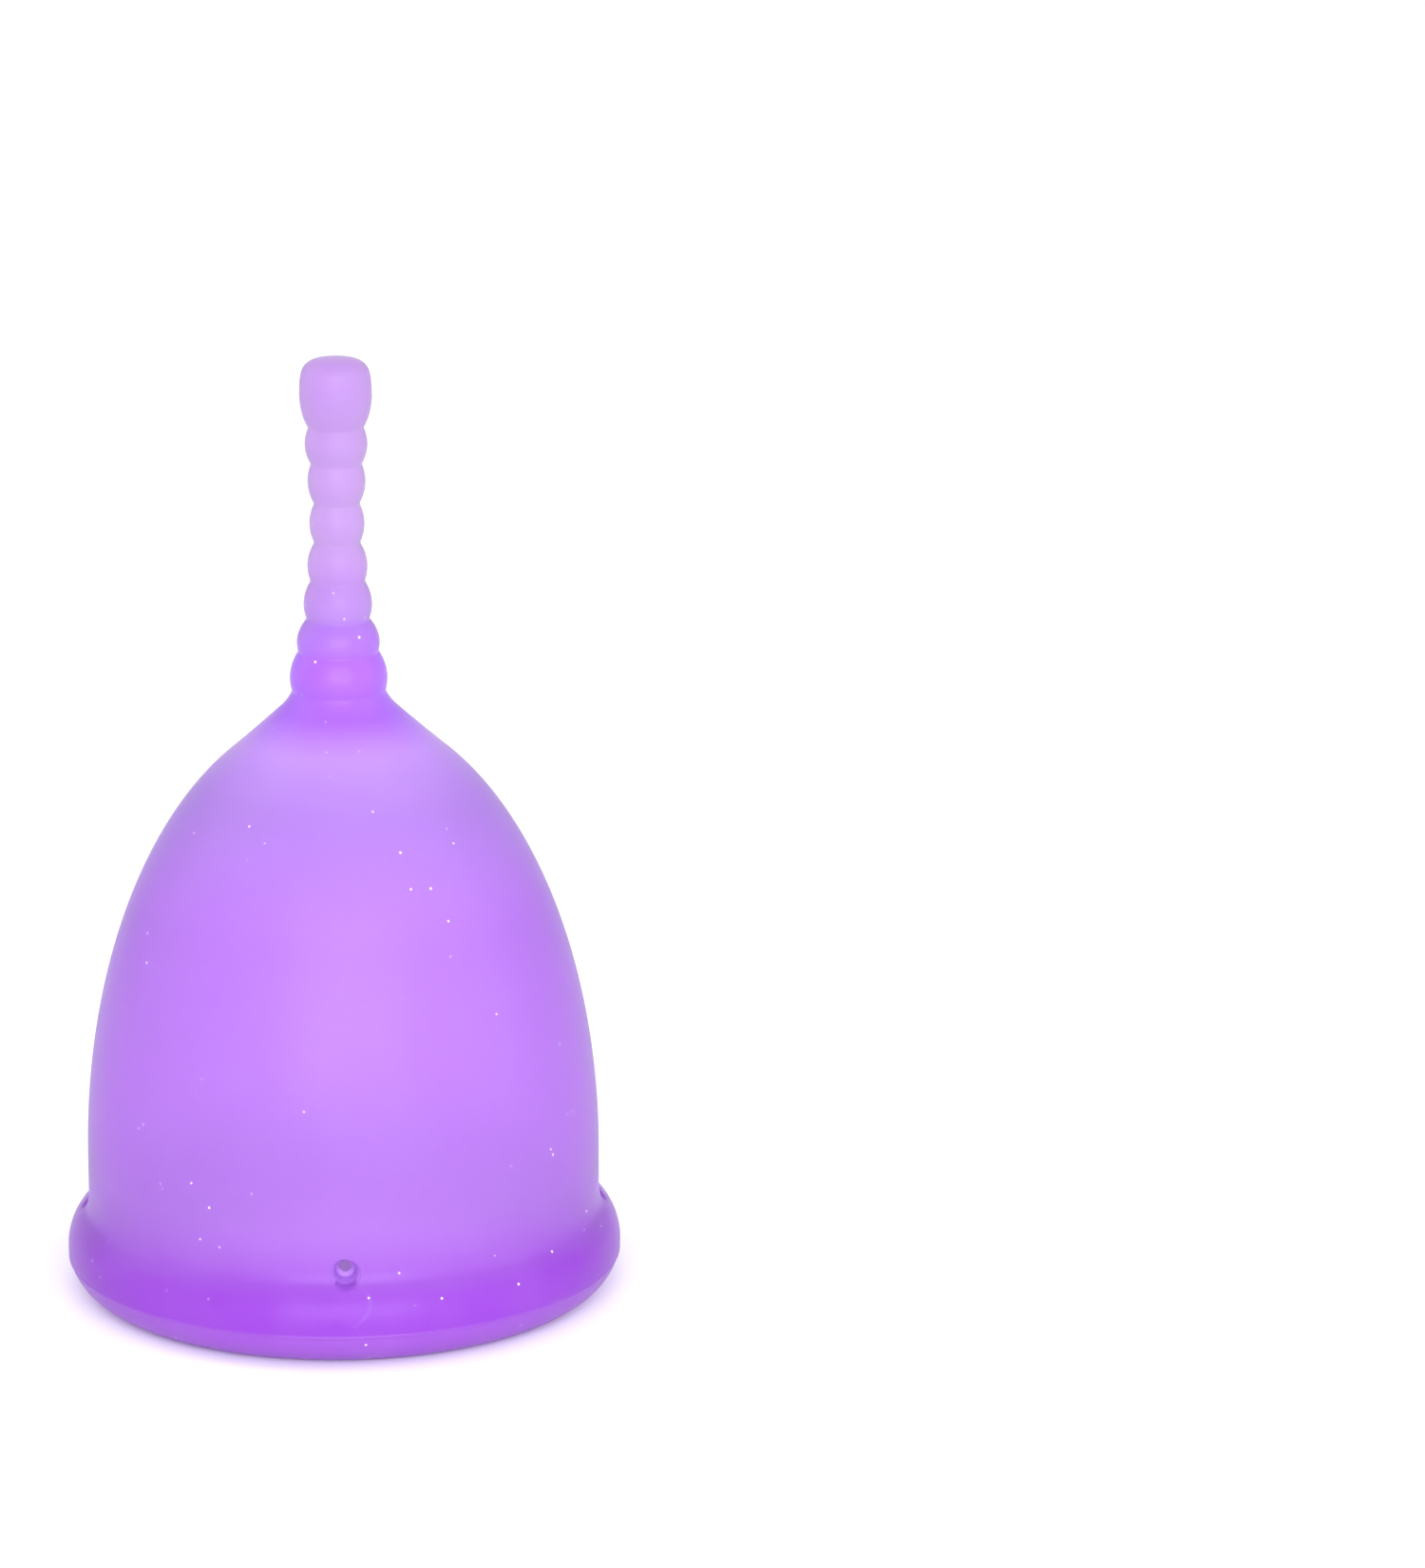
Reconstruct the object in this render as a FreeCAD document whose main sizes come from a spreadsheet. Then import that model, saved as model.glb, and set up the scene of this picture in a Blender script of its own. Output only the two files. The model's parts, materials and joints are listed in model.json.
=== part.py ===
import FreeCAD, Part
import math
import os

import Sketcher

# A bell-shaped silicone cup with a ringed pull stem, standing mouth down on its rim.
# One moulding, kept as the zones that do different jobs: the rim, the vented band, the bell wall, the
# thick base, the stem's root, the rings between its grooves and the tip.
# +Z is up the stem, Z 0 is the plane that the rim stands on, and the bell's axis is the Z axis.
# The stem bends at its grooves. At each one a core ball on the upper zone turns in a seat in the lower
# zone, and the two faces round it part as a V that just closes when the groove is bent all the way.

SIZES = {
    # Rim and wall
    "rim_radius": 22.5,         # outside of the rolled rim
    "rim_peak": 3.5,            # height at which the rim is widest
    "rim_height": 6.95,         # height at which the bead meets the wall
    "bead_overhang": 1.74,      # how far the bead stands out from the wall
    "foot_inset": 3.05,         # from the rim's outside in to the flat foot
    "mouth_lip": 0.25,          # how far the mouth stands in from the inner wall
    "mouth_edge": 0.4,          # rounding of the mouth's inner edge
    "mouth_land": 4.0,          # height of the mouth's straight inner face
    "wall_thickness": 2.0,
    "seam_drop": 1.3,           # from the bead's top down to the rim's joint with the vented band
    # Vent holes
    "vent_count": 4,
    "vent_lift": 0.6,           # from the bead's top up to the hole's axis
    "vent_outer": 1.1,          # hole radius at the outer face
    "vent_inner": 0.5,          # hole radius at the inner face
    # Bell
    "skirt_height": 11.18,      # height at which the straight wall ends
    "bell_rise": 36.76,         # height of the half ellipse above that
    "base_thickness": 4.5,      # from the hollow's top up to the ellipse's top
    "base_depth": 6.5,          # from the hollow's top down to the base's joint with the wall
    "crown_drop": 3.54,         # from the ellipse's top down to where the crown sweeps up into the stem
    "crown_sweep": 57.0,        # radius of that sweep
    # Stem
    "neck_height": 1.61,        # from the ellipse's top up to the first groove
    "ring_bulge": 0.38,         # how far a ring swells past the straight line between its grooves
    "core_radius": 1.2,
    "core_gap": 0.05,
    "bend_margin": 1.5,         # degrees of spare room at each face of a groove
    "tip_length": 5.57,
    "tip_radius": 2.88,
    "tip_corner": 1.3,
    "tip_peak": 2.4,            # from the last groove up to the tip's widest place
}
# From the bell upwards. Groove radii are at the bottom of each V, and bends are each way from straight.
RING_HEIGHTS = [3.2, 2.65, 3.08, 3.12, 3.15, 3.2, 2.95]
GROOVE_RADII = [3.75, 3.2, 2.5, 2.16, 1.82, 1.8, 2.02, 2.18]
GROOVE_BENDS = [9.0, 9.0, 18.0, 27.0, 31.5, 31.5, 31.5, 22.5]
for number, height in enumerate(RING_HEIGHTS, 1):
    SIZES[f"ring_{number}_height"] = height
for number, (radius, bend) in enumerate(zip(GROOVE_RADII, GROOVE_BENDS), 1):
    SIZES[f"groove_{number}_radius"] = radius
    SIZES[f"groove_{number}_bend"] = bend


class Size:
    """A length that is both a number and the expression that gives it from the sheet."""

    def __init__(self, text, number):
        self.text = text
        self.number = number

    def joined(self, sign, other, number):
        return Size(f"({self.text} {sign} {as_size(other).text})", number)

    def __add__(self, other):
        return self.joined("+", other, self.number + as_size(other).number)

    def __sub__(self, other):
        return self.joined("-", other, self.number - as_size(other).number)

    def __mul__(self, other):
        return self.joined("*", other, self.number * as_size(other).number)

    def __truediv__(self, other):
        return self.joined("/", other, self.number / as_size(other).number)


def as_size(value):
    return value if isinstance(value, Size) else Size(repr(float(value)), float(value))


def root(value):
    return Size(f"sqrt({value.text})", math.sqrt(value.number))


def trig(word, angle):
    """sin, cos or tan of an angle in degrees."""
    return Size(f"{word}({angle.text} * 1 deg)", getattr(math, word)(math.radians(angle.number)))


def arc_radius(run, rise):
    """Radius of an arc that starts upright and moves over by run while it rises by rise."""
    return (run * run + rise * rise) / (run * 2)


doc = FreeCAD.newDocument("silicone_cup")
sheet = doc.addObject("Spreadsheet::Sheet", "Sheet")
for row, (alias, number) in enumerate(SIZES.items(), 1):
    sheet.set(f"A{row}", alias)
    sheet.set(f"B{row}", str(number))
    sheet.setAlias(f"B{row}", alias)
doc.recompute()
s = {alias: Size(f"Sheet.{alias}", float(number)) for alias, number in SIZES.items()}
NOTHING = as_size(0)
ORIGIN = FreeCAD.Vector(0, 0, 0)
SKETCH_UP = FreeCAD.Vector(0, 1, 0)

# Places that more than one zone uses
bell_radius = s["rim_radius"] - s["bead_overhang"]
hollow_radius = bell_radius - s["wall_thickness"]
mouth_radius = hollow_radius - s["mouth_lip"]
hollow_rise = s["bell_rise"] - s["base_thickness"]
seam_height = s["rim_height"] - s["seam_drop"]
hollow_top = s["skirt_height"] + hollow_rise
base_bottom = hollow_top - s["base_depth"]
bell_top = s["skirt_height"] + s["bell_rise"]
base_top = bell_top - s["crown_drop"]
bead_arc = arc_radius(s["bead_overhang"], s["rim_height"] - s["rim_peak"])
seam_rise = seam_height - s["rim_peak"]
seam_radius = s["rim_radius"] - bead_arc + root(bead_arc * bead_arc - seam_rise * seam_rise)
groove_heights = [bell_top + s["neck_height"]]
for number in range(1, len(RING_HEIGHTS) + 1):
    groove_heights.append(groove_heights[-1] + s[f"ring_{number}_height"])


def level_on_ellipse(half_width, half_height, height):
    """Corner of a bell ellipse at that height. Its X follows from the ellipse."""
    up = (height - s["skirt_height"]) / half_height
    return (half_width * root(as_size(1) - up * up), height, "level")


LINE = ("line",)


def turn_left(radius):
    return ("left", radius)


def turn_right(radius):
    return ("right", radius)


def ellipse(half_width, half_height, way):
    return ("ellipse", half_width, half_height, way)


def arc_between(start, end, radius):
    """The arc shorter than a half turn that runs anticlockwise from start to end."""
    chord = end - start
    side = FreeCAD.Vector(-chord.y, chord.x, 0).normalize()
    reach = math.sqrt(max(radius**2 - (chord.Length / 2) ** 2, 0))
    centre = (start + end) / 2 + side * reach
    angles = [math.atan2(p.y - centre.y, p.x - centre.x) for p in (start, end)]
    if angles[1] < angles[0]:
        angles[1] += 2 * math.pi
    return Part.ArcOfCircle(Part.Circle(centre, FreeCAD.Vector(0, 0, 1), radius), *angles)


def bind(sketch, constraint, size):
    index = sketch.addConstraint(constraint)
    sketch.setExpression(f"Constraints[{index}]", size.text)


def draw_ellipse(sketch, low, high, half_width, half_height):
    """An arc of an upright ellipse centred on the axis at the skirt's height, with its size in the sheet."""
    centre = FreeCAD.Vector(0, s["skirt_height"].number, 0)
    top = centre + FreeCAD.Vector(0, half_height.number, 0)
    side = centre - FreeCAD.Vector(half_width.number, 0, 0)
    turns = []
    for point in (low, high):
        across, up = point.x / half_width.number, (point.y - centre.y) / half_height.number
        turns.append(math.atan2(-across, up))
    edge = sketch.addGeometry(Part.ArcOfEllipse(Part.Ellipse(top, side, centre), *turns))
    sketch.exposeInternalGeometry(edge)
    major, minor = edge + 1, edge + 2
    sketch.addConstraint(Sketcher.Constraint("PointOnObject", edge, 3, -2))
    bind(sketch, Sketcher.Constraint("DistanceY", edge, 3, centre.y), s["skirt_height"])
    sketch.addConstraint(Sketcher.Constraint("Vertical", major))
    bind(sketch, Sketcher.Constraint("Distance", major, 2 * half_height.number), half_height * 2)
    bind(sketch, Sketcher.Constraint("Distance", minor, 2 * half_width.number), half_width * 2)
    return edge


def draw(sketch, corners, edges):
    """A closed outline in X and Z. Edge n runs from corner n to the next one.

    A corner on an ellipse has one size only: its height if it is marked level, or its X if plumb.
    """
    points = [FreeCAD.Vector(corner[0].number, corner[1].number, 0) for corner in corners]
    ends = []
    for index, edge in enumerate(edges):
        start, end = points[index], points[(index + 1) % len(points)]
        if edge[0] == "line":
            drawn = sketch.addGeometry(Part.LineSegment(start, end))
            ends.append((drawn, 1, 2))
        elif edge[0] == "left":
            drawn = sketch.addGeometry(arc_between(start, end, edge[1].number))
            ends.append((drawn, 1, 2))
        elif edge[0] == "right":
            drawn = sketch.addGeometry(arc_between(end, start, edge[1].number))
            ends.append((drawn, 2, 1))
        elif edge[3] == "up":
            drawn = draw_ellipse(sketch, start, end, edge[1], edge[2])
            ends.append((drawn, 1, 2))
        else:
            drawn = draw_ellipse(sketch, end, start, edge[1], edge[2])
            ends.append((drawn, 2, 1))
    for index, (drawn, first, last) in enumerate(ends):
        following, its_first, _ = ends[(index + 1) % len(ends)]
        sketch.addConstraint(Sketcher.Constraint("Coincident", drawn, last, following, its_first))
    for corner, (drawn, first, _) in zip(corners, ends):
        if corner[0] is NOTHING:
            sketch.addConstraint(Sketcher.Constraint("PointOnObject", drawn, first, -2))
        elif "level" not in corner:
            bind(sketch, Sketcher.Constraint("DistanceX", drawn, first, corner[0].number), corner[0])
        if corner[1] is NOTHING:
            sketch.addConstraint(Sketcher.Constraint("PointOnObject", drawn, first, -1))
        elif "plumb" not in corner:
            bind(sketch, Sketcher.Constraint("DistanceY", drawn, first, corner[1].number), corner[1])
    for edge, (drawn, _, _) in zip(edges, ends):
        if edge[0] in ("left", "right"):
            bind(sketch, Sketcher.Constraint("Radius", drawn, edge[1].number), edge[1])


def origin_feature(body, role):
    return next(item for item in body.Origin.OriginFeatures if item.Role == role)


def new_sketch(body, name, plane):
    sketch = body.newObject("Sketcher::SketchObject", name)
    sketch.AttachmentSupport = [(origin_feature(body, plane), "")]
    sketch.MapMode = "FlatFace"
    return sketch


def turned_body(name, outline, plane_turn=None):
    """A body turned about the Z axis from a closed outline of (corner, edge that leaves it)."""
    body = doc.addObject("PartDesign::Body", name)
    body.Label = name
    sketch = new_sketch(body, f"{name}_outline", "XZ_Plane")
    if plane_turn:
        sketch.AttachmentOffset = FreeCAD.Placement(ORIGIN, FreeCAD.Rotation(SKETCH_UP, plane_turn.number))
        sketch.setExpression("AttachmentOffset.Rotation.Angle", plane_turn.text)
    draw(sketch, [corner for corner, _ in outline], [edge for _, edge in outline])
    turned = body.newObject("PartDesign::Revolution", f"{name}_turned")
    turned.Profile = sketch
    turned.ReferenceAxis = (sketch, ["V_Axis"])
    turned.Angle = 360
    sketch.Visibility = False
    doc.recompute()
    if not sketch.FullyConstrained:
        raise RuntimeError(f"{name}: the outline isn't fully constrained")
    return body


def face_angle(number):
    return s[f"groove_{number}_bend"] / 2 + s["bend_margin"]


def ball_side(number):
    """Outline from the axis outwards under the zone above a groove: the core ball, then the V's upper face."""
    height = groove_heights[number - 1]
    angle = face_angle(number)
    ball, groove = s["core_radius"], s[f"groove_{number}_radius"]
    return [
        ((NOTHING, height - ball), turn_left(ball)),
        ((ball * trig("cos", angle), height + ball * trig("sin", angle)), LINE),
    ], (groove, height + groove * trig("tan", angle))


def seat_side(number):
    """Outline from the outside inwards on top of the zone below a groove: the V's lower face, then the seat."""
    height = groove_heights[number - 1]
    angle = face_angle(number)
    seat, groove = s["core_radius"] + s["core_gap"], s[f"groove_{number}_radius"]
    return (groove, height - groove * trig("tan", angle)), [
        ((seat * trig("cos", angle), height - seat * trig("sin", angle)), turn_right(seat)),
        ((NOTHING, height - seat), LINE),
    ]


def rim():
    """The rolled rim: flat foot, round outside, and the mouth's straight inner face."""
    foot_arc = arc_radius(s["foot_inset"], s["rim_peak"])
    return turned_body("rim_bead", [
        ((mouth_radius + s["mouth_edge"], NOTHING), LINE),
        ((s["rim_radius"] - s["foot_inset"], NOTHING), turn_left(foot_arc)),
        ((s["rim_radius"], s["rim_peak"]), turn_left(bead_arc)),
        ((seam_radius, seam_height), LINE),
        ((hollow_radius, seam_height), LINE),
        ((mouth_radius, s["mouth_land"]), LINE),
        ((mouth_radius, s["mouth_edge"]), turn_left(s["mouth_edge"])),
    ])


def vented_band():
    """The straight band above the bead, with the tapered vent holes through it.

    Its outline stands half a hole spacing round, so that the band's seam misses the holes.
    """
    body = turned_body("vent_band", [
        ((seam_radius, seam_height), turn_left(bead_arc)),
        ((bell_radius, s["rim_height"]), LINE),
        ((bell_radius, s["skirt_height"]), LINE),
        ((hollow_radius, s["skirt_height"]), LINE),
        ((hollow_radius, seam_height), LINE),
    ], plane_turn=as_size(180) / s["vent_count"])
    # The hole's half section, in a plane through the axis. It runs half a wall past both faces, with one
    # taper all the way.
    overrun = s["wall_thickness"] / 2
    flare = (s["vent_outer"] - s["vent_inner"]) / 2
    inner_end, outer_end = hollow_radius - overrun, bell_radius + overrun
    axis_height = s["rim_height"] + s["vent_lift"]
    section = [
        (inner_end, axis_height),
        (outer_end, axis_height),
        (outer_end, axis_height + s["vent_outer"] + flare),
        (inner_end, axis_height + s["vent_inner"] - flare),
    ]
    sketch = new_sketch(body, "vent_section", "XZ_Plane")
    draw(sketch, section, [LINE] * len(section))
    hole = body.newObject("PartDesign::Groove", "vent_hole")
    hole.Profile = sketch
    hole.ReferenceAxis = (sketch, ["Edge1"])
    hole.Angle = 360
    sketch.Visibility = False
    doc.recompute()
    holes = body.newObject("PartDesign::PolarPattern", "vent_holes")
    holes.Originals = [hole]
    holes.Axis = (origin_feature(body, "Z_Axis"), [""])
    holes.Angle = 360
    holes.setExpression("Occurrences", s["vent_count"].text)
    body.Tip = holes
    doc.recompute()
    return body


def bell_wall():
    return turned_body("bell_wall", [
        ((bell_radius, s["skirt_height"], "level"), ellipse(bell_radius, s["bell_rise"], "up")),
        (level_on_ellipse(bell_radius, s["bell_rise"], base_bottom), LINE),
        (level_on_ellipse(hollow_radius, hollow_rise, base_bottom), ellipse(hollow_radius, hollow_rise, "down")),
        ((hollow_radius, s["skirt_height"], "level"), LINE),
    ])


def base_dome():
    """The thick closed end of the hollow."""
    return turned_body("base_dome", [
        (level_on_ellipse(bell_radius, s["bell_rise"], base_bottom), ellipse(bell_radius, s["bell_rise"], "up")),
        (level_on_ellipse(bell_radius, s["bell_rise"], base_top), LINE),
        ((NOTHING, base_top), LINE),
        ((NOTHING, hollow_top, "plumb"), ellipse(hollow_radius, hollow_rise, "down")),
        (level_on_ellipse(hollow_radius, hollow_rise, base_bottom), LINE),
    ])


def side_arc(start, end):
    """Radius of a ring's side: an arc that swells past the chord by the bulge."""
    across, up, bulge = end[0] - start[0], end[1] - start[1], s["ring_bulge"]
    return (across * across + up * up + bulge * bulge * 4) / (bulge * 8)


def stem_root():
    """The bell's crown, swept up into the stem, with the first groove's seat on top."""
    neck_side, seat = seat_side(1)
    return turned_body("stem_root", [
        (level_on_ellipse(bell_radius, s["bell_rise"], base_top)[:2], turn_right(s["crown_sweep"])),
        (neck_side, LINE),
        *seat,
        ((NOTHING, base_top), LINE),
    ])


def stem_ring(number):
    """The ring between groove number and the next: core ball below, seat on top, bulged side."""
    ball, lower = ball_side(number)
    upper, seat = seat_side(number + 1)
    return turned_body(f"stem_ring_{number}", [
        *ball,
        (lower, turn_left(side_arc(lower, upper))),
        (upper, LINE),
        *seat,
    ])


def stem_tip():
    """The barrel-shaped end of the stem that the fingers hold."""
    last = len(GROOVE_RADII)
    ball, lower = ball_side(last)
    peak = groove_heights[-1] + s["tip_peak"]
    top = groove_heights[-1] + s["tip_length"]
    swell = arc_radius(s["tip_radius"] - lower[0], peak - lower[1])
    return turned_body("stem_tip", [
        *ball,
        (lower, turn_left(swell)),
        ((s["tip_radius"], peak), LINE),
        ((s["tip_radius"], top - s["tip_corner"]), turn_left(s["tip_corner"])),
        ((s["tip_radius"] - s["tip_corner"], top), LINE),
        ((NOTHING, top), LINE),
    ])


rim()
vented_band()
bell_wall()
base_dome()
stem_root()
for number in range(1, len(GROOVE_RADII)):
    stem_ring(number)
stem_tip()
doc.recompute()

for item in doc.Objects:
    if {"Invalid", "Error"} & set(item.State):
        raise RuntimeError(f"{item.Label}: {item.getStatusString()}")

os.makedirs("parts", exist_ok=True)
for body in doc.findObjects("PartDesign::Body"):
    if body.Shape.isNull() or not body.Shape.isValid():
        raise RuntimeError(f"{body.Label}: the shape isn't sound")
    if len(body.Shape.Solids) != 1:
        raise RuntimeError(f"{body.Label}: {len(body.Shape.Solids)} solids")
    body.Shape.exportStep(f"parts/{body.Label}.step")
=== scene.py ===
# %% [markdown]
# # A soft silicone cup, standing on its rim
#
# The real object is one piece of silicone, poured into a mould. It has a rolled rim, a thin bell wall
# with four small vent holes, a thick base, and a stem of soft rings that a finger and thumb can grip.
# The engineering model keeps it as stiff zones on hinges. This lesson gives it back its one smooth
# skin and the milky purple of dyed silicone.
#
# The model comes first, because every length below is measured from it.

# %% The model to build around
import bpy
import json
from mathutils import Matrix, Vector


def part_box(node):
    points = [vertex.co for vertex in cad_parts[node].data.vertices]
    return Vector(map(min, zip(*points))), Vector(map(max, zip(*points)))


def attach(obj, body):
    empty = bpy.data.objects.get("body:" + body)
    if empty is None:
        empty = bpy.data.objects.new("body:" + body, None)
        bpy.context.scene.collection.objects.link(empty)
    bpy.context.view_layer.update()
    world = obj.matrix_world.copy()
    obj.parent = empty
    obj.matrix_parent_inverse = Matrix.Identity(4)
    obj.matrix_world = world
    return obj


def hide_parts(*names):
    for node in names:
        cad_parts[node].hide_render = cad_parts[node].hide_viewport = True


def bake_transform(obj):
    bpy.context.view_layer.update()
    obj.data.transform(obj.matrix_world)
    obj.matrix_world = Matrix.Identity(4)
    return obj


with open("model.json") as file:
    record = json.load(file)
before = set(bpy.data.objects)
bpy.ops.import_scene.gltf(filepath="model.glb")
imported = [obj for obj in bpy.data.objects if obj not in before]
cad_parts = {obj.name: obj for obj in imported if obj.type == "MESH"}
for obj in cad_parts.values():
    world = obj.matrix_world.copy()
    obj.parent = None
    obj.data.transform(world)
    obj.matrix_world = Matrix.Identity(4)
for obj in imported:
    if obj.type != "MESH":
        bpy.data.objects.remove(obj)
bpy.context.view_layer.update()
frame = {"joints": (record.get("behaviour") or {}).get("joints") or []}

import json
import math

import bmesh
import bpy
from mathutils import Euler, Matrix, Vector

MM = 0.001

# %% [markdown]
# ## Sizes
#
# The width of the rim and of the bell, the heights of the skirt and the crown, and the top of the stem
# are read from the model, and so are the grooves, which are where its hinges are. Most of the rest is
# given here: the rim's two arcs, the hollow, the depth of the grooves and the taper of the vent holes.

# %% Sizes from the model
wall_low, wall_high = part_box("bell_wall")
tip_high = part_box("stem_tip")[1]
RIM_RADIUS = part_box("rim_bead")[1].x
BELL_RADIUS = wall_high.x
SKIRT = wall_low.z
CROWN_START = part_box("stem_root")[0].z
GROOVES = [joint["pos_m"][2] for joint in frame["joints"]]
TIP_TOP, TIP_RADIUS = tip_high.z, tip_high.x
print("grooves in mm:", [round(z / MM, 2) for z in GROOVES])

# %% Sizes of the small features
RIM_PEAK, RIM_TOP, PARTING_LINE = 3.5 * MM, 6.95 * MM, 2.75 * MM
FOOT_OUTER, MOUTH_RADIUS, MOUTH_EDGE = 19.45 * MM, 18.51 * MM, 0.4 * MM
HOLLOW_RADIUS, HOLLOW_RISE = 18.76 * MM, 32.26 * MM
BELL_RISE = 36.76 * MM
FILLET_TOP, FILLET_ANGLE = RIM_TOP + 1.1 * MM, 11
PARTING_RIDGE, PARTING_ANGLE = 0.07 * MM, 1.8
INNER_SEAM, LIP_SEAM = 5.65 * MM, 4 * MM
GROOVE_RADII = [r * MM for r in (3.75, 3.2, 2.5, 2.16, 1.82, 1.8, 2.02, 2.18)]
RING_BULGE = 0.38 * MM
NECK_CUT = GROOVES[0] - 1.5 * MM
TIP_PEAK = GROOVES[-1] + 2.4 * MM
VENT_HEIGHT, VENT_OUTER, VENT_INNER = 7.55 * MM, 1.1 * MM, 0.5 * MM
LID_STEP, LID_DISH = 0.05 * MM, 0.015 * MM
AROUND, STEM_AROUND = 256, 96
SAME_POINT, WELD = 0.004 * MM, 0.002 * MM
print("rim", round(RIM_RADIUS / MM, 2), "mm and bell", round(BELL_RADIUS / MM, 2), "mm in radius")

# %% [markdown]
# ## The camera
#
# A long lens half a metre away keeps the bell's sides nearly parallel. The camera aims a little
# to the right of the cup and is rolled slightly, so the cup stands left of the middle and leans a hair.

# %% Camera
AIM = Vector((0, 0, 35 * MM))
ELEVATION = math.radians(15.5)
DISTANCE = 0.5
TILT, PAN, ROLL = math.radians(0.75), math.radians(-3.43), math.radians(-0.7)
camera = bpy.data.objects.new("camera", bpy.data.cameras.new("camera"))
bpy.context.scene.collection.objects.link(camera)
bpy.context.scene.camera = camera
away = Vector((0, -math.cos(ELEVATION), math.sin(ELEVATION)))
camera.location = AIM + away * DISTANCE
camera.rotation_mode = "QUATERNION"
swing = Euler((TILT, PAN, ROLL), "XYZ").to_quaternion()
camera.rotation_quaternion = (-away).to_track_quat("-Z", "Y") @ swing
camera.data.sensor_width = 36
camera.data.lens = 142.4
print("camera with a", round(camera.data.lens, 1), "mm lens,", DISTANCE, "m away")

# %% [markdown]
# ## How round things are drawn
#
# Everything here is turned, as on a lathe: half an outline, spun once about the Z axis. An outline is
# a list of points (radius, height). Three helpers write the curved stretches of it, and turned()
# spins it, welds the seam and the poles, and turns all the faces outwards.
#
# Each piece is a closed shell. Where two pieces of the skin meet, both have a flat lid, and finished()
# marks those lids, so that the silicone can make them see-through.

# %% Outline helpers
def arc(centre, radius, start, end, steps):
    """Points on a circle, with its angles in degrees."""
    turns = [math.radians(turn) for turn in steps_between(start, end, steps)]
    return [(centre[0] + radius * math.cos(t), centre[1] + radius * math.sin(t)) for t in turns]


def half_ellipse(half_width, rise, start, end, steps):
    """Points on the bell's ellipse, from one angle above the skirt to another."""
    turns = [math.radians(turn) for turn in steps_between(start, end, steps)]
    return [(half_width * math.cos(t), SKIRT + rise * math.sin(t)) for t in turns]


def bend(start, pull, end, steps):
    """Points on a smooth bend that leaves start towards pull and reaches end from pull."""
    shares = steps_between(0, 1, steps)
    return [tuple(a * (1 - s) ** 2 + b * 2 * s * (1 - s) + c * s * s
                  for a, b, c in zip(start, pull, end)) for s in shares]


def steps_between(start, end, count):
    """Evenly spaced numbers from start to end, with both ends."""
    return [start + (end - start) * k / count for k in range(count + 1)]


def joined(*runs):
    """One outline from several runs, without the repeated points where they meet."""
    outline = []
    for point in (point for run in runs for point in run):
        if not outline or math.dist(point, outline[-1]) > SAME_POINT:
            outline.append(point)
    return outline


def turned(name, outline, around=AROUND):
    """A bmesh of the outline spun about Z, closed and facing outwards."""
    shell = bmesh.new()
    points = [shell.verts.new((0, -radius, height)) for radius, height in outline]
    spine = [shell.edges.new(pair) for pair in zip(points, points[1:])]
    bmesh.ops.spin(shell, geom=points + spine, cent=(0, 0, 0), axis=(0, 0, 1), angle=math.tau,
                   steps=around, use_merge=True)
    bmesh.ops.remove_doubles(shell, verts=shell.verts, dist=WELD)
    bmesh.ops.recalc_face_normals(shell, faces=shell.faces)
    print(name, "has", len(shell.faces), "faces")
    return shell


SHARP_EDGE = math.radians(50)
LID_LEVEL, LID_TILT = 0.03 * MM, 0.93


def finished(name, shell, material, cuts):
    """The bmesh as an object: smooth but for its sharp edges, with the lids at its cuts marked."""
    hidden = shell.faces.layers.float.new("cut_face")
    for face in shell.faces:
        level = face.calc_center_median().z
        if abs(face.normal.z) > LID_TILT and any(abs(level - cut) < LID_LEVEL for cut in cuts):
            face[hidden] = 1.0
    mesh = bpy.data.meshes.new(name)
    shell.to_mesh(mesh)
    shell.free()
    mesh.shade_smooth()
    mesh.set_sharp_from_angle(angle=SHARP_EDGE)
    mesh.materials.append(material)
    piece = bpy.data.objects.new(name, mesh)
    bpy.context.scene.collection.objects.link(piece)
    return piece


# %% [markdown]
# ## Silicone
#
# Dyed silicone is milky: part of the light scatters just under the skin, and part goes through and
# takes on more colour the further it travels. Two shaders are mixed for that. One is the milk, a soft
# diffuse skin with a thin coat. The other is the clear silicone, which lets light through, and an
# absorbing volume inside it deepens the purple where the wall is thick.
#
# How milky it is and its colour change with height: deepest in the rim and in the root of the stem,
# lighter in the wall and in the upper stem.

# %% A wrapper for sockets, and the recipe that makes nodes
class Value:
    """A socket that can be used in sums."""

    def __init__(self, recipe, socket):
        self.recipe, self.socket = recipe, socket

    def _maths(self, operation, first, second):
        return self.recipe.node("ShaderNodeMath", {"operation": operation}, {0: first, 1: second})[0]

    def __add__(self, other):
        return self._maths("ADD", self, other)

    def __mul__(self, other):
        return self._maths("MULTIPLY", self, other)


class Recipe:
    """A material and the nodes put into it."""

    def __init__(self, name):
        self.material = bpy.data.materials.new(name)
        self.material.use_nodes = True
        self.tree = self.material.node_tree
        self.tree.nodes.clear()

    def node(self, kind, settings, inputs):
        """A node of that kind, its settings made first, as the list of its outputs."""
        made = self.tree.nodes.new(kind)
        stops = settings.pop("stops", None)
        for word, setting in settings.items():
            setattr(made, word, setting)
        if stops:
            ramp = made.color_ramp
            while len(ramp.elements) < len(stops):
                ramp.elements.new(1)
            for element, (place, colour) in zip(ramp.elements, stops):
                element.position, element.color = place, colour
        for key, given in inputs.items():
            if isinstance(given, Value):
                self.tree.links.new(given.socket, made.inputs[key])
            else:
                made.inputs[key].default_value = given
        return Outputs(self, made)


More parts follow.
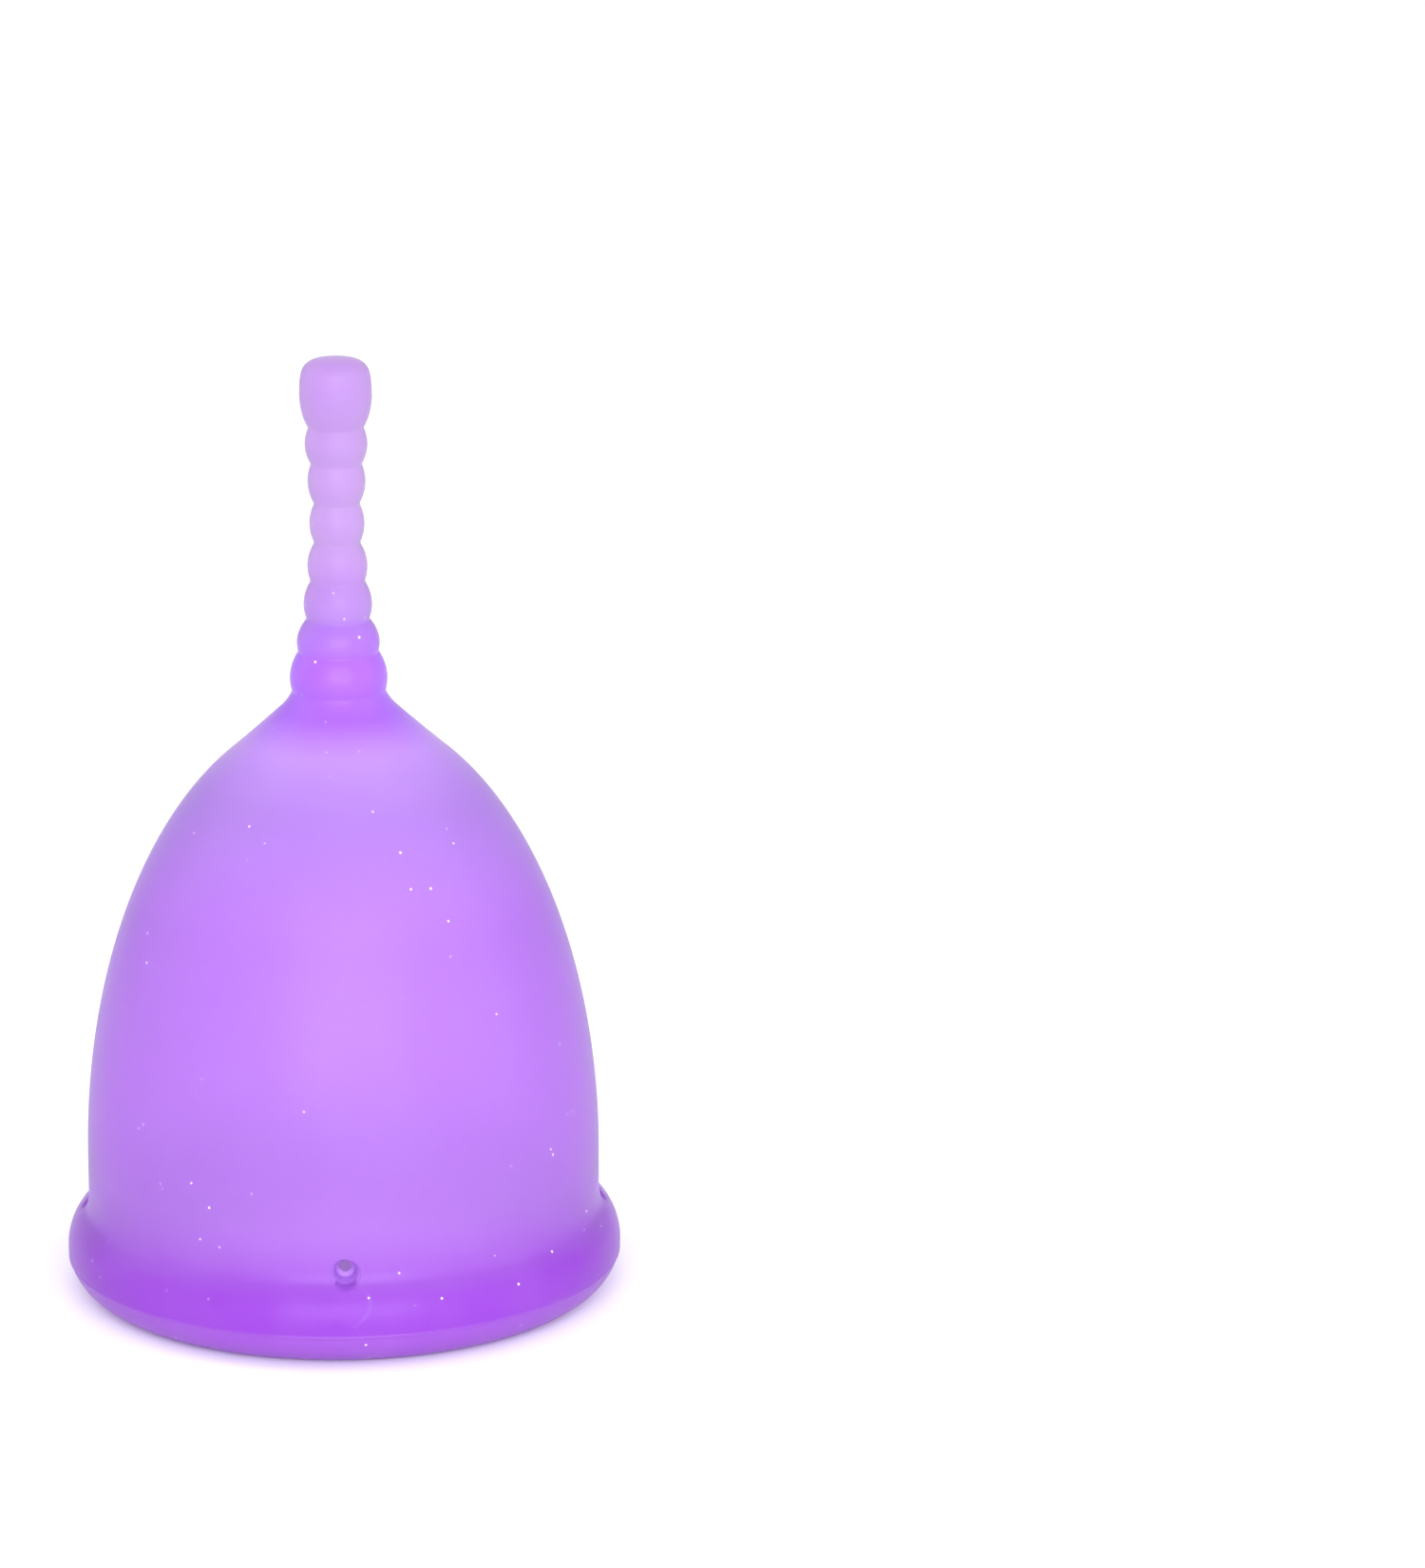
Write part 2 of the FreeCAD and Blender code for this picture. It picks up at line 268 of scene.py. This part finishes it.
class Outputs:
    """The outputs of one node, each read as a Value."""

    def __init__(self, recipe, node):
        self.recipe, self.made = recipe, node

    def __getitem__(self, key):
        return Value(self.recipe, self.made.outputs[key])


# %% The silicone's colour and milkiness, zone by zone
silicone = Recipe("milky_silicone")
place = silicone.node("ShaderNodeTexCoord", {}, {})["Object"]
height = silicone.node("ShaderNodeSeparateXYZ", {}, {0: place})[2] * (1 / TIP_TOP)
RIM_PURPLE, WALL_LILAC, CROWN_LILAC = (0.28, 0.035, 0.58, 1), (0.50, 0.23, 0.78, 1), (0.43, 0.22, 0.70, 1)
ROOT_VIOLET, TIP_LILAC = (0.32, 0.09, 0.70, 1), (0.42, 0.30, 0.55, 1)
# Each stop is a height in mm and what the silicone is like there. The two stops below the parting line are
# painted lighter than the rim above, against the shade on the rim's underside by the floor.
colour_stops = [
    (0, (0.35, 0.09, 0.60, 1)), (2.7, (0.33, 0.08, 0.60, 1)),
    (3.0, RIM_PURPLE), (5.5, RIM_PURPLE),
    (11, WALL_LILAC), (34, WALL_LILAC),
    (41, CROWN_LILAC), (45.5, CROWN_LILAC),
    (48, ROOT_VIOLET), (52.6, ROOT_VIOLET),
    (53.2, (0.33, 0.12, 0.66, 1)), (55.2, (0.35, 0.15, 0.64, 1)), (55.8, (0.39, 0.22, 0.61, 1)),
    (61.5, TIP_LILAC), (76.5, TIP_LILAC)]
milk_stops = [
    (0, 0.66), (5.5, 0.66), (11, 0.40), (32, 0.42), (42, 0.58),
    (46, 0.8), (52.6, 0.8), (58, 0.5), (76.5, 0.5)]
colour = silicone.node("ShaderNodeValToRGB", {"stops": [(z * MM / TIP_TOP, c) for z, c in colour_stops]},
                       {0: height})[0]
milkiness = silicone.node("ShaderNodeValToRGB", {
    "stops": [(z * MM / TIP_TOP, (m, m, m, 1)) for z, m in milk_stops]}, {0: height})[0]
print("colour in", len(colour_stops), "stops and milkiness in", len(milk_stops))

# %% Dust, and the fine unevenness of a moulded skin
cloud = silicone.node("ShaderNodeTexNoise", {}, {"Vector": place, "Scale": 180.0, "Detail": 3.0})[0]
grain = silicone.node("ShaderNodeTexNoise", {}, {"Vector": place, "Scale": 2600.0, "Detail": 2.0})[0]
spots = silicone.node("ShaderNodeTexVoronoi", {}, {"Vector": place, "Scale": 620.0})[0]
drift = silicone.node("ShaderNodeTexNoise", {}, {"Vector": place, "Scale": 90.0, "Detail": 1.0})[0]
speck = silicone.node("ShaderNodeMapRange", {}, {0: spots, 1: 0.04, 2: 0.085, 3: 1.0, 4: 0.0})[0]
settled = silicone.node("ShaderNodeMapRange", {}, {0: drift, 1: 0.42, 2: 0.60, 3: 0.0, 4: 1.0})[0]
dust = speck * settled
seam = silicone.node(
    "ShaderNodeTexVoronoi", {"feature": "DISTANCE_TO_EDGE"}, {"Vector": place, "Scale": 95.0})[0]
hair = silicone.node("ShaderNodeMapRange", {}, {0: seam, 1: 0.0, 2: 0.006, 3: 1.0, 4: 0.0})[0]
handled = silicone.node("ShaderNodeTexNoise", {}, {"Vector": place, "Scale": 140.0, "Detail": 2.0})[0]
worn = silicone.node("ShaderNodeMapRange", {}, {0: handled, 1: 0.58, 2: 0.75, 3: 0.0, 4: 1.0})[0]
scuff = hair * worn
# The walls of the vent holes carry painted light: their colour is painted paler and they are made milkier, to
# offset the shade inside the holes.
vent_light_mask = silicone.node("ShaderNodeAttribute", {"attribute_name": "thin_wall"}, {})["Fac"]
VENT_PAINTED_LILAC, DUST_WHITE = (0.66, 0.36, 0.95, 1), (0.95, 0.88, 1, 1)
vent_lightened_colour = silicone.node("ShaderNodeMix", {"data_type": "RGBA"}, {0: vent_light_mask, 6: colour, 7: VENT_PAINTED_LILAC})[2]
dusty = silicone.node("ShaderNodeMix", {"data_type": "RGBA"}, {
    0: dust * 0.8 + scuff * 0.08 + cloud * 0.06, 6: vent_lightened_colour, 7: DUST_WHITE})[2]
skin = silicone.node("ShaderNodeBump", {}, {"Height": grain, "Strength": 0.10, "Distance": 0.05 * MM})[0]
print("the skin's pattern takes", len(silicone.tree.nodes), "nodes so far")

# %% The silicone
milk = silicone.node("ShaderNodeBsdfPrincipled", {}, {
    "Base Color": dusty, "Roughness": cloud * 0.10 + dust * 0.3 + 0.28, "IOR": 1.41,
    "Specular IOR Level": 0.2, "Coat Weight": 0.25, "Coat Roughness": 0.3, "Coat IOR": 1.4,
    "Normal": skin})[0]
clear = silicone.node("ShaderNodeBsdfPrincipled", {}, {
    "Base Color": (0.86, 0.98, 0.93, 1), "Roughness": 0.42, "IOR": 1.15,
    "Transmission Weight": 1.0, "Normal": skin})[0]
body = silicone.node("ShaderNodeMixShader", {}, {
    0: milkiness + dust * 0.4 + vent_light_mask * 0.4, 1: clear, 2: milk})[0]
nothing = silicone.node("ShaderNodeBsdfTransparent", {}, {})[0]
cut = silicone.node("ShaderNodeAttribute", {"attribute_name": "cut_face"}, {})["Fac"]
surface = silicone.node("ShaderNodeMixShader", {}, {0: cut, 1: body, 2: nothing})[0]
depth = silicone.node("ShaderNodeVolumeAbsorption", {}, {"Color": (0.80, 0.10, 0.96, 1), "Density": 380.0})[0]
silicone.node("ShaderNodeOutputMaterial", {}, {"Surface": surface, "Volume": depth})
print("the silicone has", len(silicone.tree.nodes), "nodes")

# %% [markdown]
# ## The bell
#
# The bell is one closed shell: up the outside, over the crown, and back down the inside to the mouth.
# It could be a shell given thickness by a Solidify modifier, but the real wall isn't even: it is thin
# in the middle and thick at the base, so inside and outside each get an outline of their own.

# %% The bell's outline
bead_run, bead_rise = RIM_RADIUS - BELL_RADIUS, RIM_TOP - RIM_PEAK
BEAD = (bead_run ** 2 + bead_rise ** 2) / (2 * bead_run)
bead_turn = math.degrees(math.asin(bead_rise / BEAD))
foot_run = RIM_RADIUS - FOOT_OUTER
FOOT = (foot_run ** 2 + RIM_PEAK ** 2) / (2 * foot_run)
foot_turn = math.degrees(math.asin(RIM_PEAK / FOOT))


def foot_arc(start, end, steps):
    """Points on the rim's lower arc."""
    return arc((RIM_RADIUS - FOOT, RIM_PEAK), FOOT, start, end, steps)


# The mould's two halves meet a little below the rim's widest level, and leave a line as fine as a hair.
line_turn = -math.degrees(math.asin((RIM_PEAK - PARTING_LINE) / FOOT))
line_low, line_high = foot_arc(line_turn - PARTING_ANGLE, line_turn + PARTING_ANGLE, 1)
line_tip = [(r + PARTING_RIDGE * 2, z) for r, z in foot_arc(line_turn, line_turn, 1)][0]
rim_outside = joined(
    foot_arc(-foot_turn, line_turn - PARTING_ANGLE, 22),
    bend(line_low, line_tip, line_high, 4),
    foot_arc(line_turn + PARTING_ANGLE, 0, 4),
    arc((RIM_RADIUS - BEAD, RIM_PEAK), BEAD, 0, bead_turn - FILLET_ANGLE, 16),
)
fillet = bend(rim_outside[-1], (BELL_RADIUS, RIM_TOP), (BELL_RADIUS, FILLET_TOP), 8)
wall_outside = [(BELL_RADIUS, z) for z in steps_between(FILLET_TOP, SKIRT, 7)]
crown_turn = math.degrees(math.asin((CROWN_START - SKIRT) / BELL_RISE))
bell_outside = half_ellipse(BELL_RADIUS, BELL_RISE, 0, crown_turn, 64)
CROWN_PULL, CROWN_END, NECK_PULL = (6.55 * MM, 46.42 * MM), (4.75 * MM, 48.1 * MM), (3.97 * MM, 48.85 * MM)
crown = bend(bell_outside[-1], CROWN_PULL, CROWN_END, 8)
neck = bend(crown[-1], NECK_PULL, (GROOVE_RADII[0], GROOVES[0]), 10)

hollow = half_ellipse(HOLLOW_RADIUS, HOLLOW_RISE, 90, 0, 64)
hollow[0] = (0, hollow[0][1])
wall_inside = [(HOLLOW_RADIUS, z) for z in steps_between(SKIRT, INNER_SEAM, 12)]
mouth = joined(
    [(MOUTH_RADIUS, z) for z in steps_between(LIP_SEAM, MOUTH_EDGE, 6)],
    arc((MOUTH_RADIUS + MOUTH_EDGE, MOUTH_EDGE), MOUTH_EDGE, 180, 270, 5),
    [rim_outside[0]],
)


def between(outline, low, high):
    """The stretch of a rising outline from one height to another, cut exactly at both."""
    inside = [p for p in outline if low + SAME_POINT < p[1] < high - SAME_POINT]
    return [at_height(outline, low)] + inside + [at_height(outline, high)]


def at_height(outline, height):
    """The point of a rising outline at that height."""
    for lower, upper in zip(outline, outline[1:]):
        if lower[1] <= height <= upper[1] and upper[1] > lower[1]:
            share = (height - lower[1]) / (upper[1] - lower[1])
            return (lower[0] + share * (upper[0] - lower[0]), height)
    return outline[-1]


def lid(outline_end, side):
    """A lid dished into its own piece: side is 1 for a top lid and -1 for a bottom one."""
    radius, level = outline_end
    return [(radius - LID_STEP, level - side * LID_DISH), (0, level - side * LID_DISH)]


outside = joined(rim_outside, fillet, wall_outside, bell_outside, crown, neck)
outer_skin = between(outside, 0, NECK_CUT)
outer_skin[0] = rim_outside[0]
print("the bell's outside has", len(outer_skin), "points and its inside", len(hollow + wall_inside + mouth))

# %% The bell's shell
bell = turned("bell", joined(outer_skin, lid(outer_skin[-1], 1), hollow, wall_inside, mouth))

# %% [markdown]
# ## The vent holes
#
# Four small holes break the seal when the cup is pulled. Each is moulded by a tapered pin, so it
# is wide outside and fine inside. A boolean would leave ragged little faces round it. Here a square of
# faces is taken out of each wall, the outer square's edge is drawn in step by step to a circle and on
# down the tunnel, and the tunnel's end is bridged to the gap in the inner wall.
#
# The faces of the tunnels are marked for painted light that lightens the shade inside them, most of all at
# their narrow inner end.

# %% Vent holes
PATCH_OUTER, PATCH_INNER = (2.1 * MM, 5.4 * MM, 9.7 * MM), (1.5 * MM, 6.2 * MM, 8.9 * MM)
EDGE_WIDE, EDGE_TIGHT, EDGE_DROP = 0.12 * MM, 0.03 * MM, 0.05 * MM
PIN_START = 20.45 * MM
INNER_END, VENT_LIGHT_OUTER, VENT_LIGHT_INNER = 0.7 * MM, 0.35, 1.0


def outer_radius(level):
    """The outside's radius at that height."""
    return at_height(outside, level)[0]


def opened(shell, turn, patch, inner):
    """Takes out a patch of faces from one wall and gives the edges of the gap."""
    half_across, low, high = patch
    gone = []
    for face in shell.faces:
        centre = turn @ face.calc_center_median()
        far = math.hypot(centre.x, centre.y)
        wall = far < (HOLLOW_RADIUS + BELL_RADIUS) / 2
        if wall == inner and centre.y < 0 and abs(centre.x) < half_across and low < centre.z < high:
            gone.append(face)
    edges = {edge for face in gone for edge in face.edges}
    gap = [edge for edge in edges if sum(face in gone for face in edge.link_faces) == 1]
    bmesh.ops.delete(shell, geom=gone, context="FACES_KEEP_BOUNDARY")
    return gap


def drawn_in(shell, gap, place_for):
    """Extrudes an edge loop and puts each new vertex where place_for says."""
    grown = bmesh.ops.extrude_edge_only(shell, edges=gap)["geom"]
    for vert in (item for item in grown if isinstance(item, bmesh.types.BMVert)):
        vert.co = place_for(vert.co)
    return [item for item in grown if isinstance(item, bmesh.types.BMEdge) and item.is_boundary]


def ring_place(turn, share, radius_at, wall_at):
    """Moves a point that share of the way from where it is to the vent's circle, along the wall."""
    back = turn.inverted()

    def place(point):
        here = turn @ point
        across, up = here.x, here.z - VENT_HEIGHT
        angle = math.atan2(up, across)
        goal = radius_at(wall_at(VENT_HEIGHT + up * 0.6))
        across += (goal * math.cos(angle) - across) * share
        up += (goal * math.sin(angle) - up) * share
        far = wall_at(VENT_HEIGHT + up)
        return back @ Vector((across, -math.sqrt(far ** 2 - across ** 2), VENT_HEIGHT + up))

    return place


def pin_radius(far):
    """Radius of the tapered pin at that distance from the cup's axis."""
    share = (far - HOLLOW_RADIUS) / (BELL_RADIUS - HOLLOW_RADIUS)
    return VENT_INNER + (VENT_OUTER - VENT_INNER) * share


def pin_place(turn, far):
    """Moves a point along the pin's surface to that distance from the cup's axis."""
    back = turn.inverted()

    def place(point):
        here = turn @ point
        angle = math.atan2(here.z - VENT_HEIGHT, here.x)
        across = pin_radius(far) * math.cos(angle)
        up = pin_radius(far) * math.sin(angle)
        return back @ Vector((across, -math.sqrt(far ** 2 - across ** 2), VENT_HEIGHT + up))

    return place


for quarter in range(4):
    turn = Matrix.Rotation(quarter * math.pi / 2, 3, "Z")
    gap = opened(bell, turn, PATCH_OUTER, inner=False)
    inner_gap = opened(bell, turn, PATCH_INNER, inner=True)
    for share in (0.3, 0.43, 0.6, 0.8, 1):
        gap = drawn_in(bell, gap, ring_place(turn, share, lambda far: pin_radius(far) + EDGE_WIDE,
                                             outer_radius))
    gap = drawn_in(bell, gap, ring_place(turn, 1, lambda far: pin_radius(far) + EDGE_TIGHT,
                                         lambda level: outer_radius(level) - EDGE_DROP))
    for far in steps_between(PIN_START, HOLLOW_RADIUS + 0.02 * MM, 5):
        gap = drawn_in(bell, gap, pin_place(turn, far))
    bmesh.ops.bridge_loops(bell, edges=gap + inner_gap)
# From the lid to the hollow the outline follows the axis, and the spin leaves a loose edge there.
bmesh.ops.delete(bell, geom=[edge for edge in bell.edges if edge.is_wire], context="EDGES")
bmesh.ops.recalc_face_normals(bell, faces=bell.faces)
# Painted light: the tunnel faces are marked so that their colour is lightened against the shade inside the
# holes, fully at the inner end.
thin_wall = bell.faces.layers.float.new("thin_wall")
for face in bell.faces:
    for quarter in range(4):
        here = Matrix.Rotation(quarter * math.pi / 2, 3, "Z") @ face.calc_center_median()
        off_axis, far = math.hypot(here.x, here.z - VENT_HEIGHT), -here.y
        if HOLLOW_RADIUS + 0.03 * MM < far < BELL_RADIUS - 0.05 * MM and off_axis < VENT_OUTER:
            face[thin_wall] = VENT_LIGHT_OUTER if far > HOLLOW_RADIUS + INNER_END else VENT_LIGHT_INNER
odd_edges = sum(1 for edge in bell.edges if not edge.is_manifold)
print("the bell has", len(bell.faces), "faces and", odd_edges, "edges without exactly two faces")
bell_skin = finished("bell_skin", bell, silicone.material, cuts=[NECK_CUT])
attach(bell_skin, "cup")
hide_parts("rim_bead", "vent_band", "bell_wall", "base_dome", "stem_root")

# %% [markdown]
# ## The stem
#
# The stem is a row of soft rings with a groove between each two, and it bends at the grooves. Each
# piece here runs from the middle of one ring to the middle of the next, so its groove is inside it.
# At rest the pieces make one smooth skin.

# %% The stem's outline
TIP_FLARE, TIP_SHOULDER, TIP_CROWN = (2.74 * MM, 71.7 * MM), (2.62 * MM, 75.6 * MM), (1.2 * MM, 76.42 * MM)
rings = []
for low, high, start, end in zip(GROOVES, GROOVES[1:], GROOVE_RADII, GROOVE_RADII[1:]):
    shares = sorted(steps_between(0, 1, 18) + [0.493, 0.507])
    rings.append([(start + (end - start) * s + RING_BULGE * 4 * s * (1 - s), low + (high - low) * s)
                  for s in shares])
tip = joined(
    bend((GROOVE_RADII[-1], GROOVES[-1]), TIP_FLARE, (TIP_RADIUS, TIP_PEAK), 12),
    bend((TIP_RADIUS, TIP_PEAK), (TIP_RADIUS, 75.0 * MM), TIP_SHOULDER, 8),
    bend(TIP_SHOULDER, (2.25 * MM, 76.32 * MM), TIP_CROWN, 8),
    bend(TIP_CROWN, (0.5 * MM, TIP_TOP), (0, TIP_TOP), 5),
)
stem = joined(crown, neck, *rings, tip)
cuts = [NECK_CUT] + [(a + b) / 2 for a, b in zip(GROOVES, GROOVES[1:])] + [TIP_TOP]
print("the stem is cut at, in mm:", [round(z / MM, 2) for z in cuts])

# %% The stem's pieces
CREASE_WIDTH, CREASE_STEPS, LONGEST_REACH = 0.12 * MM, 3, 1.5 * MM
for number, groove in enumerate(GROOVES):
    low, high = cuts[number], cuts[number + 1]
    last = number == len(GROOVES) - 1
    if last:
        side = [at_height(stem, low)] + [p for p in stem if p[1] > low + SAME_POINT]
    else:
        side = between(stem, low, high)
    outline = joined(lid(side[0], -1)[::-1], side, [] if last else lid(side[-1], 1))
    shell = turned(f"stem piece {number + 1}", outline, around=STEM_AROUND)
    crease = [edge for edge in shell.edges if all(abs(v.co.z - groove) < 0.001 * MM for v in edge.verts)
              and len(edge.link_faces) == 2]
    bmesh.ops.bevel(shell, geom=crease, offset=CREASE_WIDTH, offset_type="OFFSET", segments=CREASE_STEPS,
                    profile=0.5, affect="EDGES", material=-1)
    name = "stem_grip" if last else f"stem_groove_{number + 1}"
    piece = finished(name, shell, silicone.material, cuts=[low] if last else [low, high])
    reach = min(groove - low, high - groove, LONGEST_REACH) * 0.9
    groove - reach
    groove + reach
    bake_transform(piece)
    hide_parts("stem_tip" if last else f"stem_ring_{number + 1}")

# %% [markdown]
# ## The studio
#
# A pale floor, a bright even room, and three large soft lights: one in front, and one on each side.

# %% Floor and light
paper = Recipe("pale_paper")
fibre = paper.node("ShaderNodeTexNoise", {}, {"Scale": 900.0, "Detail": 4.0})[0]
relief = paper.node("ShaderNodeBump", {}, {"Height": fibre, "Strength": 0.05, "Distance": 0.1 * MM})[0]
sheet = paper.node("ShaderNodeBsdfPrincipled", {}, {
    "Base Color": (0.98, 0.98, 0.985, 1), "Roughness": 0.8, "Normal": relief})[0]
paper.node("ShaderNodeOutputMaterial", {}, {"Surface": sheet})
ground = bmesh.new()
bmesh.ops.create_circle(ground, cap_ends=True, radius=4.0, segments=96)
floor_mesh = bpy.data.meshes.new("floor")
ground.to_mesh(floor_mesh)
ground.free()
floor_mesh.materials.append(paper.material)
floor = bpy.data.objects.new("floor", floor_mesh)
bpy.context.scene.collection.objects.link(floor)


def softbox(name, place, aim, width, height, power):
    """A soft rectangular light at a place, turned to face the aim."""
    lamp = bpy.data.lights.new(name, "AREA")
    lamp.shape, lamp.size, lamp.size_y = "RECTANGLE", width, height
    lamp.energy = power
    light = bpy.data.objects.new(name, lamp)
    light.location = place
    light.rotation_mode = "QUATERNION"
    light.rotation_quaternion = (Vector(aim) - Vector(place)).to_track_quat("-Z", "Y")
    bpy.context.scene.collection.objects.link(light)
    print(name, "gives", power, "W")


softbox("softbox_front", (0.03, -0.75, 0.28), (0, 0, 0.04), 0.8, 0.5, 6.0)
softbox("softbox_left", (-0.47, 0.12, 0.34), (0, 0, 0.06), 0.3, 0.75, 0.7)
softbox("softbox_right", (0.47, -0.17, 0.34), (0, 0, 0.06), 0.36, 0.75, 0.8)
room = bpy.data.worlds.new("bright_room")
bpy.context.scene.world = room
room.use_nodes = True
room.node_tree.nodes["Background"].inputs["Color"].default_value = (1, 1, 1, 1)
room.node_tree.nodes["Background"].inputs["Strength"].default_value = 0.98
bpy.context.scene.view_settings.view_transform = "Standard"
